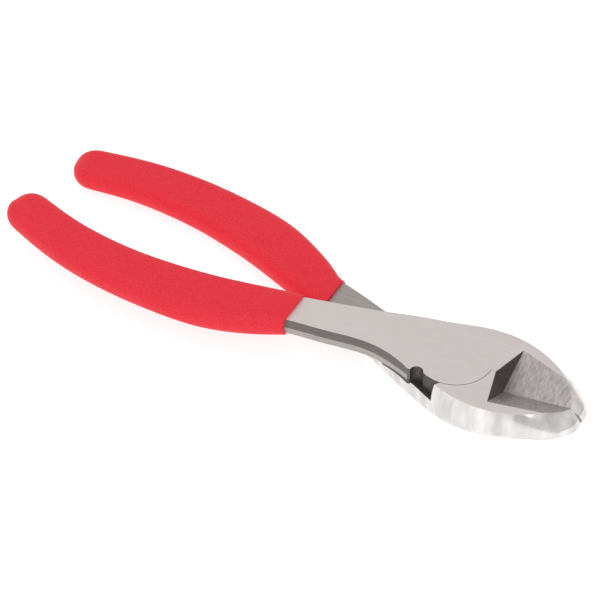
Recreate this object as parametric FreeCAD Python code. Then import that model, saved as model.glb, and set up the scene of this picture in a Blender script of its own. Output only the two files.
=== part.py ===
import FreeCAD, Part
import math
import os

# Diagonal cutting pliers with a flush lap joint, in millimetres.
# Frame: the pivot axis is Z, with z = 0 on the underside of the head. +X runs along the closed cutting
# edges to the jaw tips. The upper half carries the jaw on the +Y side and the handle on the -Y side.

# Head
headThickness = 12.0
jawReach = 37.5            # pivot axis to the tip, without the nose's rounding
jawHalfWidth = 14.2        # cutting line to the widest point of the top face
jawBulge = 1.0             # how far the sides swell out at mid height
noseRound = 6.0            # how far the nose draws back from mid height up to the top face
underRound = 4.0           # how far the sides draw in again at the underside of the jaws
lapRadius = 11.0           # round lap of each half
lapGap = 0.10              # between the two lap faces
seamGap = 0.15             # round the lap, radially
edgeGap = 0.05             # between the closed jaws
stepAngle = 84.0           # where the jaw root stops on the lap circle, in degrees from the cutting line
stepLean = 38.0            # lean of the jaw root's end wall from the radius, in degrees
scallopRadius = 1.9        # half-round relief at the end of the lap
scallopAngle = 240.0       # its place round the pivot, in degrees
scallopOffset = 1.3        # lap circle to its centre

# Cutting edges
throatWall = 1.25          # steel between the lap circle and the throat
throatLean = 3.0           # how much further ahead the throat wall's corners are
throatFoot = 2.6           # how much further ahead the wall's foot is than its top edge
throatHalfWidth = 10.8
bevelTipWidth = 5.0        # cutting line to the hollow's edge, level with the tip
edgeDepth = 6.8            # cutting edges below the top face, at the throat
tipEdgeDepth = 2.1         # and at the tip
edgeLand = 0.5             # height of the meeting edges
backSlope = 78.0           # relief on the underside, in degrees

# Rivet
rivetRadius = 3.5
rivetFlare = 1.1           # how much wider its countersunk heads are
rivetHeadDepth = 1.2
rivetClearance = 0.05

# Shanks, handles and grips
shankThickness = 5.2
shankWidth = 10.1          # where it enters the grip
shankRidge = 0.5           # parting-line ridge on the shank's sides
shankReliefX = -18.0       # the shank thins behind this point
handleSet = 2.0            # how far both handles stand to one side of the cutting line, in degrees
upperReach = 137.5         # pivot axis to the end of each grip
lowerReach = 135.5
upperEndBend = -0.8         # how far each grip's end bends in
lowerEndBend = -1.8
upperGripStart = 46.3      # pivot axis to the lip of each grip
lowerGripStart = 42.8
gripWidth = 17.4
gripThickness = 8.0
gripLevel = 2.75           # height of a grip's centre above or below the middle of the head
coat = 1.1                 # thickness of the dipped coat
coatEnd = 3.0              # and at the handle's end

lapZ = headThickness / 2
ridgeZ = headThickness - shankThickness / 2
throatX = lapRadius + seamGap + throatWall
throatCornerX = throatX + throatLean
beyond = 200.0             # past the ends of the tool, for cutting solids


def vec(x, y, z=0.0):
    return FreeCAD.Vector(x, y, z)


def turned(point, degrees):
    angle = math.radians(degrees)
    x, y = point
    return x * math.cos(angle) - y * math.sin(angle), x * math.sin(angle) + y * math.cos(angle)


def polar(radius, degrees):
    return radius * math.cos(math.radians(degrees)), radius * math.sin(math.radians(degrees))


def spline(points, z):
    curve = Part.BSplineCurve()
    curve.interpolate([vec(x, y, z) for x, y in points])
    return curve.toShape()


def line(a, b, z):
    return Part.makeLine(vec(*a, z), vec(*b, z))


def prism(points, low, high, lean=0.0):
    face = Part.Face(Part.makePolygon([vec(x, y, low) for x, y in points + points[:1]]))
    return face.extrude(vec(lean, 0, high - low))


def pushedOut(points, amounts):
    # Each point moves to the left of the way the points run.
    moved = []
    for index, (x, y) in enumerate(points):
        ax, ay = points[max(index - 1, 0)]
        bx, by = points[min(index + 1, len(points) - 1)]
        length = math.hypot(bx - ax, by - ay)
        moved.append((x - (by - ay) / length * amounts[index], y + (bx - ax) / length * amounts[index]))
    return moved


# Outline of a half's top face. The jaw's points are shares of its reach and width, the points by the lap are
# taken from its circle, and the shank's points are taken from the pivot, along the handles' middle line.
jawOutline = [(0.085, 0.93), (0.21, 0.985), (0.355, 0.995), (0.55, 0.92), (0.77, 0.735), (0.92, 0.52),
              (0.985, 0.31), (1.0, 0.0)]
underShares = [0.05, 0.15, 0.35, 0.65, 1.2, 2.0, 2.2, 2.0]
lapFar = [polar(lapRadius + 1.0, 121.7)]
lapNear = [polar(lapRadius + 3.0, 231.0)]
shankTail = [(-50.0, -9.7), (-43.7, -7.75)]     # centres, where the shank is shankWidth wide
shankFar = [(x, y + shankWidth / 2) for x, y in shankTail] + [(-35.7, -0.1), (-23.4, 4.1), (-15.0, 7.3)]
shankNear = [(-14.3, -9.3), (-20.0, -8.6), (-26.1, -9.1), (-35.9, -11.3)]
shankNear += [(x, y - shankWidth / 2) for x, y in reversed(shankTail)]


def ridge(z):
    return shankRidge * max(0.0, 1.0 - abs(z - ridgeZ) / (shankThickness / 2))


def bulge(z, under, share):
    rise = (z - lapZ) / lapZ
    drawnIn = underRound * share * max(0.0, rise * under) ** 1.5
    return jawBulge * (1.0 - rise ** 2) - drawnIn


def farEdge(z, tailTurn, under):
    tail = [turned(point, tailTurn) for point in shankFar]
    drawnBack = noseRound * max(0.0, (lapZ - z) / lapZ * under) ** 1.5
    jaw = [(x * jawReach - drawnBack * x ** 2, y * jawHalfWidth) for x, y in jawOutline]
    amounts = [ridge(z)] * (len(tail) - 1) + [0.5 * bulge(z, under, 0)] * 2
    amounts += [bulge(z, under, share) for share in underShares]
    points = pushedOut(tail + lapFar + jaw, amounts)
    points[-1] = (jawReach - drawnBack + bulge(z, under, 1), edgeGap / 2)
    return points


def nearEdge(z, tailTurn):
    tail = [turned(point, tailTurn) for point in shankNear]
    amounts = [0.0] + [ridge(z)] * len(tail)
    return pushedOut(lapNear + tail, amounts)


def halfOutline(z, tailTurn, under):
    far = farEdge(z, tailTurn, under)
    near = nearEdge(z, tailTurn)
    lapStart = (math.sqrt(lapRadius ** 2 - (edgeGap / 2) ** 2), edgeGap / 2)
    lapEnd = polar(lapRadius, 246.5)
    lap = Part.Arc(vec(*lapStart, z), vec(*polar(lapRadius, 305.0), z), vec(*lapEnd, z)).toShape()
    edges = [spline(far, z), line(far[-1], lapStart, z), lap, line(lapEnd, near[0], z), spline(near, z),
             line(near[-1], far[0], z)]
    return Part.Wire(edges)


def forgingBlank(tailTurn, under):
    # Level outlines from the underside to the top face, one of them at the shank's ridge.
    levels = [0.0, 0.125, 0.25, 0.375, 0.5, 0.64, ridgeZ / headThickness, 0.89, 1.0]
    wires = [halfOutline(level * headThickness, tailTurn, under) for level in levels]
    return Part.makeLoft(wires, True, True)


def lappedBlank(tailTurn, under):
    # Built as the upper half: the lap and shank above the lap plane, the jaw at full thickness.
    body = forgingBlank(tailTurn, under)
    slab = Part.makeBox(2 * beyond, 2 * beyond, headThickness, vec(-beyond, -beyond, lapZ + lapGap / 2))
    upper = body.common(slab)
    lower = body.cut(slab)
    root = polar(lapRadius + seamGap, stepAngle)
    lean = polar(headThickness + jawHalfWidth, stepAngle + stepLean)
    behind = [(0, 0), root, (root[0] + lean[0], root[1] + lean[1]), (-beyond, beyond), (-beyond, -beyond),
              (0, -beyond)]
    lower = lower.cut(prism(behind, -1, headThickness))
    lower = lower.cut(Part.makeCylinder(lapRadius + seamGap, headThickness + 2, vec(0, 0, -1)))
    blank = upper.fuse(lower)
    scallopCentre = polar(lapRadius + scallopOffset, scallopAngle)
    scallop = Part.makeCylinder(scallopRadius, headThickness, vec(*scallopCentre, lapZ))
    reliefCorner = vec(shankReliefX - beyond, -beyond / 2, -shankThickness)
    relief = Part.makeBox(beyond, beyond, headThickness, reliefCorner)
    return blank.cut([scallop, relief])


# Handle stations along the near side: centre x and y, then how far the width, and the thickness and level,
# have gone from the shank's to the grip's.
stations = [
    (-40.0, -7.0, 0.0, 0.0), (-46.0, -8.5, 0.06, 0.05), (-52.3, -10.6, 0.32, 0.5), (-60.0, -13.4, 0.7, 0.9),
    (-68.0, -15.9, 0.9, 1.0), (-80.2, -18.1, 0.8, 1.0), (-93.0, -19.2, 0.56, 1.0), (-106.8, -19.0, 0.34, 0.95),
    (-120.0, -17.0, 0.1, 0.85), (-130.0, -14.2, -0.05, 0.75)]
endY = -11.8               # centre of the grip's rounded end
shoulderX = 60.0           # a longer or shorter handle stretches behind this point
bendX = 100.0              # an end bends in behind this one
stationReach = 137.5       # grip end that the stations are laid out for
capSteps = [0.45, 0.75, 0.93, 0.99]
sectionCorner = 0.95       # corner radius as a share of the half-thickness


def roundedSection(centre, direction, halfWidth, halfThick):
    across = vec(-direction[1], direction[0])
    up = vec(0, 0, 1)
    corner = sectionCorner * halfThick
    edges = []
    for sideA, sideB in ((1, 1), (-1, 1), (-1, -1), (1, -1)):
        middle = centre + across * (sideA * (halfWidth - corner)) + up * (sideB * (halfThick - corner))
        rays = [across * sideA, (across * sideA + up * sideB) * math.sqrt(0.5), up * sideB]
        if sideA != sideB:
            rays.reverse()
        ends = [middle + ray * corner for ray in rays]
        if edges:
            edges.append(Part.makeLine(edges[-1].Vertexes[-1].Point, ends[0]))
        edges.append(Part.Arc(*ends).toShape())
    edges.append(Part.makeLine(edges[-1].Vertexes[-1].Point, edges[0].Vertexes[0].Point))
    return Part.Wire(edges)


def handleLine(tailTurn, reach, endBend):
    # The stations' centres for a handle of this reach, with the end's centre last.
    centres = []
    for x, y in [station[:2] for station in stations] + [(-stationReach, endY)]:
        stretch = max(0.0, -x - shoulderX) / (stationReach - shoulderX)
        bend = max(0.0, -x - bendX) / (stationReach - bendX)
        centres.append(turned((x + (stationReach - reach) * stretch, y + endBend * bend ** 2), tailTurn))
    return centres


def handleLoft(tailTurn, reach, endBend, inset, endInset, first):
    lipWidth = shankWidth / 2 + shankRidge + coat
    lipThick = shankThickness / 2 + coat
    drop = lapZ + gripLevel - ridgeZ
    centres = handleLine(tailTurn, reach, endBend)
    wires = []
    for index in range(first, len(stations)):
        wide, thick = stations[index][2:]
        ax, ay = centres[max(index - 1, 0)]
        bx, by = centres[index + 1]
        size = math.hypot(bx - ax, by - ay)
        direction = ((bx - ax) / size, (by - ay) / size) if index > 1 else (-1.0, 0.0)
        centre = vec(*centres[index], ridgeZ + drop * thick)
        halfWidth = lipWidth + (gripWidth / 2 - lipWidth) * wide - inset
        halfThick = lipThick + (gripThickness / 2 - lipThick) * thick - inset
        wires.append(roundedSection(centre, direction, halfWidth, halfThick))
    way = vec(*centres[-1], centre.z) - centre
    way = way * ((way.Length - endInset) / way.Length)
    direction = (way.x / way.Length, way.y / way.Length)
    for step in capSteps:
        shrink = math.sqrt(1 - step ** 2.6)
        wires.append(roundedSection(centre + way * step, direction, halfWidth * shrink, halfThick * shrink))
    return Part.makeLoft(wires, True, False)


def cuttingTools():
    # For the far side: the hollow above the edges and the relief under them, both ahead of the throat wall.
    back = math.tan(math.radians(backSlope))
    rise = (edgeDepth - tipEdgeDepth) / (jawReach - throatCornerX)
    closing = (throatHalfWidth - bevelTipWidth) / (jawReach - throatCornerX)
    high = 2 * headThickness
    wide = 2 * jawHalfWidth
    hollow = []
    relief = []
    for x in (throatX - throatLean, jawReach + headThickness):
        ahead = x - throatCornerX
        topEdge = throatHalfWidth - closing * ahead
        edge = headThickness - edgeDepth + rise * ahead
        fall = (headThickness - edge) / topEdge
        crest = edge - edgeLand
        above = [(topEdge, headThickness), (topEdge, high), (-1, high), (-1, edge - fall)]
        below = [(-1, crest - wide * back), (wide, crest - wide * back), (-1, crest + back)]
        hollow.append(Part.makePolygon([vec(x, y, z) for y, z in above + above[:1]]))
        relief.append(Part.makePolygon([vec(x, y, z) for y, z in below + below[:1]]))
    ahead = [(0, 0), (0, -1), (beyond, -1), (beyond, beyond), (throatLean, beyond),
             (throatLean, throatHalfWidth)]
    slope = throatFoot / edgeDepth
    lowX = throatX + slope * (headThickness + high)
    leaning = prism([(lowX + x, y) for x, y in ahead], -high, high, -2 * high * slope)
    upright = prism([(throatX + throatFoot + x, y) for x, y in ahead], -high, high)
    return [Part.makeLoft(hollow, True, True).common(leaning),
            Part.makeLoft(relief, True, True).common(upright)]


def rivetShape(clearance):
    radius = rivetRadius + clearance
    headRadius = radius + rivetFlare
    profile = [(0, 0), (headRadius, 0), (radius, rivetHeadDepth), (radius, headThickness - rivetHeadDepth),
               (headRadius, headThickness), (0, headThickness)]
    face = Part.Face(Part.makePolygon([vec(x, 0, z) for x, z in profile + profile[:1]]))
    return face.revolve(vec(0, 0, 0), vec(0, 0, 1), 360)


def flipped(shape):
    return shape.copy().rotated(vec(0, 0, lapZ), vec(1, 0, 0), 180)


def mirrored(shape):
    return shape.mirror(vec(0, 0, 0), vec(0, 1, 0))


def half(tailTurn, reach, endBend, under):
    return lappedBlank(tailTurn, under).fuse(handleLoft(tailTurn, reach, endBend, coat, coatEnd, 1))


def grip(tailTurn, reach, endBend, start, steel):
    body = handleLoft(tailTurn, reach, endBend, 0.0, 0.0, 0)
    trim = Part.makeBox(beyond, beyond, beyond, vec(-start, -beyond / 2, -beyond / 2))
    return body.cut(trim).cut(steel)


def main():
    os.makedirs("parts", exist_ok=True)
    upper = half(-handleSet, upperReach, upperEndBend, -1)
    lower = half(handleSet, lowerReach, lowerEndBend, 1)
    lowerTools = [mirrored(tool) for tool in cuttingTools()]
    nodes = {
        "upper_half": upper.cut(cuttingTools()).cut(rivetShape(0.0)),
        "lower_half": flipped(lower).cut(lowerTools).cut(rivetShape(rivetClearance)),
        "pivot_rivet": rivetShape(0.0),
        "upper_grip": grip(-handleSet, upperReach, upperEndBend, upperGripStart, upper),
        "lower_grip": flipped(grip(handleSet, lowerReach, lowerEndBend, lowerGripStart, lower)),
    }
    for name, shape in nodes.items():
        print(name, shape.isValid(), len(shape.Solids), round(shape.Volume, 1))
        shape.exportStep("parts/" + name + ".step")


main()
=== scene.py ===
import math
import bmesh
import bpy
from mathutils import Matrix, Vector


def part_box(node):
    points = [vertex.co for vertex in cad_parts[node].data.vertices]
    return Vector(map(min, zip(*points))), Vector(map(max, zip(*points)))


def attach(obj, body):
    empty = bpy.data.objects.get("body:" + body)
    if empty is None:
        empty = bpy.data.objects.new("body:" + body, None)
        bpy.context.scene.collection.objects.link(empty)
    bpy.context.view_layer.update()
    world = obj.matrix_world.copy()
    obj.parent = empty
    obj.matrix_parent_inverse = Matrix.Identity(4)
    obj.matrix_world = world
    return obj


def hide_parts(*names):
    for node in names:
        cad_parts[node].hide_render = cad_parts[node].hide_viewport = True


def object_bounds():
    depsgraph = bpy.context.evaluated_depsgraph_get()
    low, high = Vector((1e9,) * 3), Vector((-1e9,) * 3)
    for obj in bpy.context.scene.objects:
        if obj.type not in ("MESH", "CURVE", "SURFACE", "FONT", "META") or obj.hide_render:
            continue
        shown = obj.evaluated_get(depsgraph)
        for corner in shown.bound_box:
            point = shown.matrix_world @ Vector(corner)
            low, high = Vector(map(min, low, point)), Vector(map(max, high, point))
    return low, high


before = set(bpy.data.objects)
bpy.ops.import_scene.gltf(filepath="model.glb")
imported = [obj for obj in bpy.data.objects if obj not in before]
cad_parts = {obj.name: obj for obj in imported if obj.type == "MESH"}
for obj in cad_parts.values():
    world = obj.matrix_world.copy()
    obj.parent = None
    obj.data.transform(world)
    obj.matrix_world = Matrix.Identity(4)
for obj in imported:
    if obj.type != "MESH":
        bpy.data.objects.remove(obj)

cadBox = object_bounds()
scene = bpy.context.scene
print("frame loaded")


def newNode(tree, kind, place, **settings):
    node = tree.nodes.new(kind)
    node.location = place
    for key, value in settings.items():
        setattr(node, key, value)
    return node


def setInputs(node, values):
    for socket, value in values.items():
        node.inputs[socket].default_value = value


def addObject(name, data):
    thing = bpy.data.objects.new(name, data)
    scene.collection.objects.link(thing)
    return thing


# Fine marks left by grinding or by the mould.
grainShape = {
    "inputs": {"Streak Scale": 900.0, "Mottle Scale": 120.0, "Detail": 3.0},
    "streakHeight": 0.7,        # how much of the height is streaks, beside the mottling
    "middle": 0.5,              # where both noises centre
    "mottleSpread": 0.2,        # how far the mottling mostly runs either side of the middle
}


def grainGroup():
    # Long streaks, broad mottling, and both as one height.
    tree = bpy.data.node_groups.new("surfaceGrain", "ShaderNodeTree")
    face = tree.interface
    face.new_socket("Vector", in_out="INPUT", socket_type="NodeSocketVector")
    for name, value in grainShape["inputs"].items():
        face.new_socket(name, in_out="INPUT", socket_type="NodeSocketFloat").default_value = value
    for name in ("Streaks", "Mottle", "Height"):
        face.new_socket(name, in_out="OUTPUT", socket_type="NodeSocketFloat")
    start = newNode(tree, "NodeGroupInput", (-600, 0))
    end = newNode(tree, "NodeGroupOutput", (400, 0))
    streaks = newNode(tree, "ShaderNodeTexNoise", (-300, 200))
    mottle = newNode(tree, "ShaderNodeTexNoise", (-300, -150))
    both = newNode(tree, "ShaderNodeMath", (100, -50), operation="MULTIPLY_ADD")
    both.inputs[1].default_value = grainShape["streakHeight"]
    for noise, scale in ((streaks, "Streak Scale"), (mottle, "Mottle Scale")):
        tree.links.new(start.outputs["Vector"], noise.inputs["Vector"])
        tree.links.new(start.outputs[scale], noise.inputs["Scale"])
        tree.links.new(start.outputs["Detail"], noise.inputs["Detail"])
    tree.links.new(streaks.outputs["Fac"], both.inputs[0])
    tree.links.new(mottle.outputs["Fac"], both.inputs[2])
    tree.links.new(streaks.outputs["Fac"], end.inputs["Streaks"])
    tree.links.new(mottle.outputs["Fac"], end.inputs["Mottle"])
    tree.links.new(both.outputs[0], end.inputs["Height"])
    return tree


surfaceGrain = grainGroup()


def grainyMaterial(name, look):
    # The streaks mix the two colours, the mottling sets the roughness, and the height bumps the surface.
    material = bpy.data.materials.new(name)
    material.use_nodes = True
    tree = material.node_tree
    shader = tree.nodes["Principled BSDF"]
    middle = grainShape["middle"]

    place = newNode(tree, "ShaderNodeTexCoord", (-1100, 0))
    stretch = newNode(tree, "ShaderNodeMapping", (-900, 0))
    grain = newNode(tree, "ShaderNodeGroup", (-700, 0), node_tree=surfaceGrain)
    setInputs(stretch, {"Scale": look["stretch"]})
    setInputs(grain, {"Streak Scale": look["streakScale"], "Mottle Scale": look["mottleScale"]})
    tree.links.new(place.outputs["Object"], stretch.inputs["Vector"])
    tree.links.new(stretch.outputs["Vector"], grain.inputs["Vector"])

    colour = newNode(tree, "ShaderNodeMix", (-400, 200), data_type="RGBA")
    weight = newNode(tree, "ShaderNodeMapRange", (-550, 100))
    setInputs(colour, {"A": (*look["dark"], 1), "B": (*look["light"], 1)})
    setInputs(weight, {"From Min": middle - look["spread"], "From Max": middle + look["spread"]})
    tree.links.new(grain.outputs["Streaks"], weight.inputs["Value"])
    tree.links.new(weight.outputs["Result"], colour.inputs["Factor"])
    tree.links.new(colour.outputs["Result"], shader.inputs["Base Color"])

    rough = newNode(tree, "ShaderNodeMapRange", (-400, -100))
    setInputs(rough, {"From Min": middle - grainShape["mottleSpread"],
                      "From Max": middle + grainShape["mottleSpread"],
                      "To Min": look["roughness"][0], "To Max": look["roughness"][1]})
    tree.links.new(grain.outputs["Mottle"], rough.inputs["Value"])
    tree.links.new(rough.outputs["Result"], shader.inputs["Roughness"])

    bump = newNode(tree, "ShaderNodeBump", (-300, -300))
    setInputs(bump, {"Strength": look["bump"], "Distance": look["depth"]})
    tree.links.new(grain.outputs["Height"], bump.inputs["Height"])
    tree.links.new(bump.outputs["Normal"], shader.inputs["Normal"])

    setInputs(shader, {"Metallic": look["metallic"], **look.get("fixed", {})})
    return material


steelLooks = {
    # flat ground faces of the head and the rivet
    "groundSteel": {
        "light": (0.76, 0.70, 0.685), "dark": (0.715, 0.655, 0.64), "spread": 0.25,
        "roughness": (0.56, 0.64), "stretch": (0.08, 1, 1), "streakScale": 2600,
        "mottleScale": 90, "bump": 0.08, "depth": 0.00003, "metallic": 0.85},
    # sides of the jaws, and the broken edges of the hollow
    "polishedSteel": {
        "light": (0.86, 0.83, 0.81), "dark": (0.60, 0.57, 0.55), "spread": 0.16,
        "roughness": (0.18, 0.3), "stretch": (1, 1, 0.06), "streakScale": 240,
        "mottleScale": 60, "bump": 0.1, "depth": 0.00003, "metallic": 1.0},
    # filed slopes of the hollow, down to the cutting edges
    "cutSteel": {
        "light": (0.56, 0.515, 0.50), "dark": (0.36, 0.33, 0.32), "spread": 0.2,
        "roughness": (0.42, 0.55), "stretch": (1, 0.3, 0.3), "streakScale": 1700,
        "mottleScale": 500, "bump": 0.3, "depth": 0.00006, "metallic": 0.85},
    # sides of the shanks
    "shankSteel": {
        "light": (0.46, 0.425, 0.405), "dark": (0.38, 0.35, 0.33), "spread": 0.25,
        "roughness": (0.4, 0.5), "stretch": (0.1, 1, 1), "streakScale": 1500,
        "mottleScale": 120, "bump": 0.12, "depth": 0.00004, "metallic": 0.8},
    # sides of the shanks beyond the ridge, a darker copy of the shank's steel as painted shade
    "shadedShankSteel": {
        "light": (0.20, 0.18, 0.172), "dark": (0.145, 0.13, 0.123), "spread": 0.25,
        "roughness": (0.42, 0.55), "stretch": (0.1, 1, 1), "streakScale": 1500,
        "mottleScale": 120, "bump": 0.12, "depth": 0.00004, "metallic": 0.75},
    # dark steel, partly the scale left in the joint and partly painted shade: scale on the lap faces and
    # round the pivot, scale darkened by painted shade in the relief beside the lap, painted shade on the
    # throat wall, and a painted shadow band on the shank's side just above the lap
    "scaleAndShadeSteel": {
        "light": (0.13, 0.115, 0.105), "dark": (0.075, 0.066, 0.06), "spread": 0.25,
        "roughness": (0.42, 0.6), "stretch": (1, 1, 1), "streakScale": 1200,
        "mottleScale": 300, "bump": 0.25, "depth": 0.00005, "metallic": 0.7},
}
steels = {name: grainyMaterial(name, look) for name, look in steelLooks.items()}
steelOrder = list(steelLooks)
print("steel materials made")

# Lengths are in metres and angles in degrees; a tilt is a part of the face's unit normal.
cleanUp = {"mergeDistance": 2e-6, "flatAngle": 0.4}
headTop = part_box("pivot_rivet")[1].z  # the rivet is ground flush with the head
lapHeight = headTop / 2
steelShape = {
    "throatX": 0.0122,                  # just short of the throat wall's top edge
    "throatEnd": 0.0185,                # just past the wall's foot
    "hollowWidth": 0.0112,              # a little over half of the hollow's width
    "cutRadius": 0.0112,                # just outside the round cut that the lap turns in
    "scallop": (-0.00615, 0.01065),     # centre of the relief beside the lap: X, and how far out in Y
    "scallopReach": 0.0022,
    "jawEndX": -0.026,                  # the polish on one side and the painted shadow on the other end here
    "shadowRise": 0.09,                  # slope of the painted shadow's edge, away from the lap's height
    "ridgeHeight": 0.0034,              # how far the shank's ridge is from the lap's height
    "headSlack": 1e-5,                  # how near the head's top or underside a ground face is
    "lapSlack": 0.0002,                 # how near the lap's height its mating face is
    "flatTilt": 0.985,
    "wallTilt": 0.7,
    "filedTilt": 0.3,
    "shankTilt": 0.9,
    "planeSlack": 1e-6,
    "brokenEdge": 0.00014,
    "edgeSteps": 2,
    "rimStep": 0.0005,                  # the hollow's bright rim starts this far past throatX
    "rivetKeep": 0.0052,                # edges this near the pivot stay sharp, under the rivet's head
    "sharpAngle": 22,
    "smoothAngle": 14,
}
rivetShape = {"smoothAngle": 30}


def steelZone(face, side):
    # side is 1 for the upper half and -1 for the lower one, which is the same forging turned over.
    spot = face.calc_center_median()
    normal = face.normal
    scallopX, scallopOut = steelShape["scallop"]
    fromScallop = math.hypot(spot.x - scallopX, spot.y * side + scallopOut)
    aboveLap = (spot.z - lapHeight) * side
    shadowTop = steelShape["shadowRise"] * (spot.x - steelShape["jawEndX"])
    flat = abs(normal.z) > steelShape["flatTilt"]
    onHead = spot.z > headTop - steelShape["headSlack"] or spot.z < steelShape["headSlack"]
    onLap = abs(spot.z - lapHeight) < steelShape["lapSlack"]
    inHollow = spot.x > steelShape["throatX"] and abs(spot.y) < steelShape["hollowWidth"]
    if flat and onHead:
        return "groundSteel"
    # The lap faces get the scale, and the relief beside the lap gets it darkened as painted shade.
    if flat and onLap or fromScallop < steelShape["scallopReach"]:
        return "scaleAndShadeSteel"
    # The throat wall gets the dark steel as painted shade.
    if inHollow and normal.x > steelShape["wallTilt"] and spot.x < steelShape["throatEnd"]:
        return "scaleAndShadeSteel"
    if inHollow and normal.y * side < -steelShape["filedTilt"]:
        return "cutSteel"
    if math.hypot(spot.x, spot.y) < steelShape["cutRadius"]:
        return "scaleAndShadeSteel"
    if spot.x > steelShape["jawEndX"] and (spot.y * side > 0 or spot.x > 0):
        return "polishedSteel"
    # A band just above the lap, widening from the jaw's end toward the head, is a painted shadow in the
    # dark steel.
    if 0 < aboveLap < shadowTop:
        return "scaleAndShadeSteel"
    # Beyond the ridge the shank's side is darker, as painted shade.
    if aboveLap > steelShape["ridgeHeight"] and abs(normal.z) < steelShape["shankTilt"]:
        return "shadedShankSteel"
    return "shankSteel"


def cleanCopy(node):
    # A CAD node's mesh is loose triangles, so its copy is merged and its flat faces are joined.
    mesh = bmesh.new()
    mesh.from_mesh(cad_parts[node].data)
    bmesh.ops.remove_doubles(mesh, verts=mesh.verts, dist=cleanUp["mergeDistance"])
    bmesh.ops.dissolve_limit(mesh, angle_limit=math.radians(cleanUp["flatAngle"]), verts=mesh.verts,
                             edges=mesh.edges, delimit={"NORMAL"})
    mesh.normal_update()
    return mesh


def sharpEdges(mesh, degrees):
    limit = math.radians(degrees)
    return [edge for edge in mesh.edges if edge.is_manifold and edge.calc_face_angle() > limit]


def middleOf(edge):
    return (edge.verts[0].co + edge.verts[1].co) / 2


def roundEdges(mesh, edges, size, steps):
    made = bmesh.ops.bevel(mesh, geom=edges, offset=size, offset_type="OFFSET", segments=steps,
                           profile=0.5, affect="EDGES", material=-1, clamp_overlap=True)
    return made["faces"]


def finishPiece(name, mesh, node, body, materials, smoothAngle):
    mesh.normal_update()
    for face in mesh.faces:
        face.smooth = True
    for edge in sharpEdges(mesh, smoothAngle):
        edge.smooth = False
    data = bpy.data.meshes.new(name)
    mesh.to_mesh(data)
    mesh.free()
    for material in materials:
        data.materials.append(material)
    piece = addObject(name, data)
    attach(piece, body)
    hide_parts(node)


def steelPiece(name, node, body, side):
    mesh = cleanCopy(node)
    # The polish and the painted shadow each end on a plane through the jaw's end, so the faces are cut
    # there first.
    for planeNormal in ((1, 0, 0), (-steelShape["shadowRise"], 0, side)):
        bmesh.ops.bisect_plane(mesh, geom=mesh.verts[:] + mesh.edges[:] + mesh.faces[:],
                               dist=steelShape["planeSlack"], plane_no=planeNormal,
                               plane_co=(steelShape["jawEndX"], 0, lapHeight))
    for face in mesh.faces:
        face.material_index = steelOrder.index(steelZone(face, side))
    sharp = []
    for edge in sharpEdges(mesh, steelShape["sharpAngle"]):
        middle = middleOf(edge)
        if math.hypot(middle.x, middle.y) > steelShape["rivetKeep"]:
            sharp.append(edge)
    rimStart = steelShape["throatX"] + steelShape["rimStep"]
    for face in roundEdges(mesh, sharp, steelShape["brokenEdge"], steelShape["edgeSteps"]):
        spot = face.calc_center_median()
        if spot.x > rimStart and abs(spot.y) < steelShape["hollowWidth"]:
            face.material_index = steelOrder.index("polishedSteel")
    finishPiece(name, mesh, node, body, [steels[key] for key in steelOrder],
                steelShape["smoothAngle"])


steelPiece("upperHalf", "upper_half", "upper", 1)
steelPiece("lowerHalf", "lower_half", "lower", -1)
finishPiece("pivotRivet", cleanCopy("pivot_rivet"), "pivot_rivet", "upper",
            [steels["groundSteel"]], rivetShape["smoothAngle"])
print("steel pieces made")

vinyl = grainyMaterial("dippedVinyl", {
    "light": (0.87, 0.034, 0.058), "dark": (0.76, 0.014, 0.030), "spread": 0.16,
    "roughness": (0.5, 0.62), "stretch": (1, 1, 1), "streakScale": 2700, "mottleScale": 150,
    "bump": 0.45, "depth": 0.0002, "metallic": 0.0, "fixed": {"Specular IOR Level": 0.3}})
gripShape = {
    "lipRadius": 0.0005,
    "lipSteps": 4,
    "lipSlack": 1e-5,       # how near the front end a lip's point is
    "smoothAngle": 40,
}


def gripPiece(name, node, body):
    mesh = cleanCopy(node)
    lipX = max(vert.co.x for vert in mesh.verts)

    def onLip(vert):
        return lipX - vert.co.x < gripShape["lipSlack"]

    lipVerts = [vert for vert in mesh.verts if onLip(vert)]
    centre = sum((vert.co for vert in lipVerts), Vector()) / len(lipVerts)
    outer = []
    for edge in sharpEdges(mesh, gripShape["smoothAngle"]):
        if all(onLip(vert) for vert in edge.verts):
            # The coat's outer wall faces away from the lip's centre, and its inner wall towards it.
            wall = min(edge.link_faces, key=lambda face: face.normal.x)
            if wall.normal.dot(middleOf(edge) - centre) > 0:
                outer.append(edge)
    roundEdges(mesh, outer, gripShape["lipRadius"], gripShape["lipSteps"])
    finishPiece(name, mesh, node, body, [vinyl], gripShape["smoothAngle"])


gripPiece("upperGrip", "upper_grip", "upper")
gripPiece("lowerGrip", "lower_grip", "lower")
print("grips made")

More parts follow.
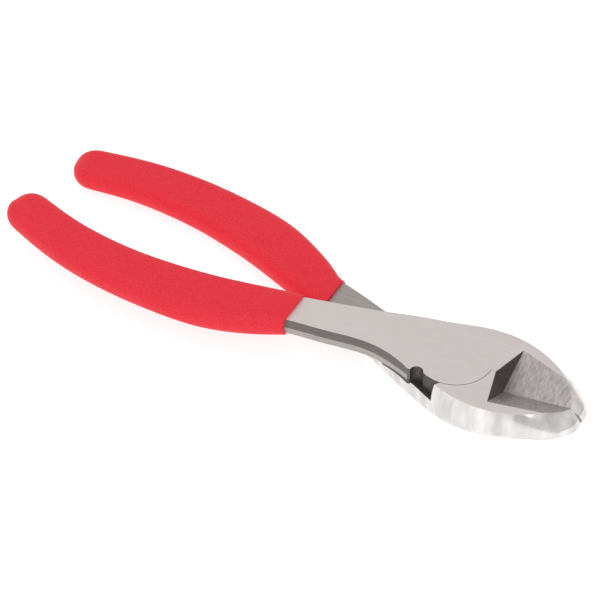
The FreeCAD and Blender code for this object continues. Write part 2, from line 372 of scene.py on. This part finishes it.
# The pale floor glows a little, so that it stays near white beside the tool's soft shadow.
floorShape = {"size": 4.0, "centreX": -0.05, "drop": 0.0002}
floorLook = {"Base Color": (0.4, 0.4, 0.4, 1), "Roughness": 0.9, "Emission Color": (1, 1, 1, 1),
             "Emission Strength": 0.76}
floorPlace = (floorShape["centreX"], 0, cadBox[0][2] - floorShape["drop"])
floorMesh = bmesh.new()
bmesh.ops.create_grid(floorMesh, x_segments=1, y_segments=1, size=floorShape["size"],
                      matrix=Matrix.Translation(floorPlace))
floorData = bpy.data.meshes.new("floor")
floorMesh.to_mesh(floorData)
floorMesh.free()
floor = addObject("floor", floorData)
paper = bpy.data.materials.new("palePaper")
paper.use_nodes = True
setInputs(paper.node_tree.nodes["Principled BSDF"], floorLook)
floorData.materials.append(paper)

sky = bpy.data.worlds.new("studio")
sky.use_nodes = True
setInputs(sky.node_tree.nodes["Background"], {"Color": (1, 1, 1, 1), "Strength": 0.74})
scene.world = sky
scene.view_settings.view_transform = "Standard"

softLights = {
    "keyLight": {"place": (0.25, -0.55, 0.75), "target": (0, 0, 0), "size": 0.5, "power": 1.7},
    "fillLight": {"place": (-0.6, 0.1, 0.7), "target": (-0.05, 0, 0), "size": 0.6, "power": 0.7},
}
for name, lamp in softLights.items():
    light = bpy.data.lights.new(name, "AREA")
    light.shape = "DISK"
    light.size = lamp["size"]
    light.energy = lamp["power"]
    stand = addObject(name, light)
    stand.location = lamp["place"]
    aim = Vector(lamp["target"]) - Vector(lamp["place"])
    stand.rotation_euler = aim.to_track_quat("-Z", "Y").to_euler()

view = {
    "target": Vector((-0.0490, 0.0008, headTop - 0.005)),   # about the middle of the tool
    "toCamera": Vector((0.3465, -0.5980, 0.7230)),
    "distance": 0.8333,
    "lens": 180,            # focal length and sensor width in millimetres
    "sensor": 36,
}
lens = bpy.data.cameras.new("camera")
lens.lens = view["lens"]
lens.sensor_width = view["sensor"]
camera = addObject("camera", lens)
camera.location = view["target"] + view["toCamera"].normalized() * view["distance"]
camera.rotation_euler = view["toCamera"].to_track_quat("Z", "Y").to_euler()
scene.camera = camera
print("stage set")
